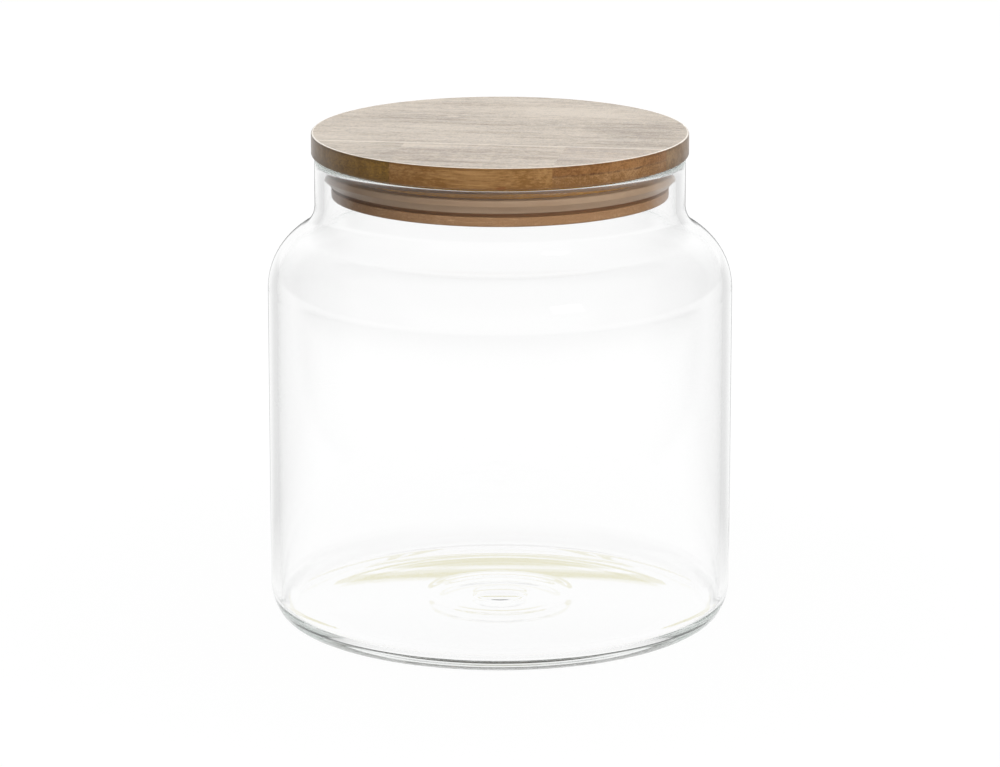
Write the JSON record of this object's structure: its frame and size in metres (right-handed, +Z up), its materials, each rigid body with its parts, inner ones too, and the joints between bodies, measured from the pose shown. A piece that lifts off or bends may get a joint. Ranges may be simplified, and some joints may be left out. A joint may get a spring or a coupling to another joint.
{
  "type": "lidded glass canister",
  "caption": "Wide round clear glass storage canister with a soft shoulder and short neck, closed by a flat wooden plug lid sealed with a silicone gasket.",
  "frame": {"origin": "centre of the ring that the jar stands on, on the surface it stands on", "axes": "+Z up along the jar's axis of revolution; -Y faces the viewer of the picture, +X to the viewer's right"},
  "size_m": [0.15, 0.15, 0.1599],
  "materials": {
    "clear_glass": "clear blown glass, fire-polished rim",
    "wood_dark": "dark olive-brown oiled hardwood with pores",
    "wood_light": "light brown oiled hardwood with faint streaks",
    "wood_grained": "mid brown oiled hardwood with a darker grain line",
    "wood_middle": "mid brown oiled hardwood with a satin sheen",
    "wood_back": "mid brown oiled hardwood with a satin sheen",
    "wood_plug": "pale brown oiled hardwood",
    "clear_silicone": "translucent matt silicone"
  },
  "bodies": {
    "jar": {"glass_jar": "clear_glass"},
    "gasket": {"silicone_gasket": "clear_silicone"},
    "lid": {"lid_front_left_block": "wood_dark", "lid_front_middle_block": "wood_light", "lid_front_right_block": "wood_grained", "lid_middle_stave": "wood_middle", "lid_back_stave": "wood_back", "lid_plug": "wood_plug"}
  },
  "joints": [
    {"name": "lid_lift", "type": "slide", "parent": "jar", "child": "gasket", "axis": [0, 0, 1], "range_m": [0, 0.15]},
    {"name": "lid_turn", "type": "hinge", "parent": "gasket", "child": "lid", "pos_m": [0, 0, 0.146], "axis": [0, 0, 1], "continuous": true}
  ]
}
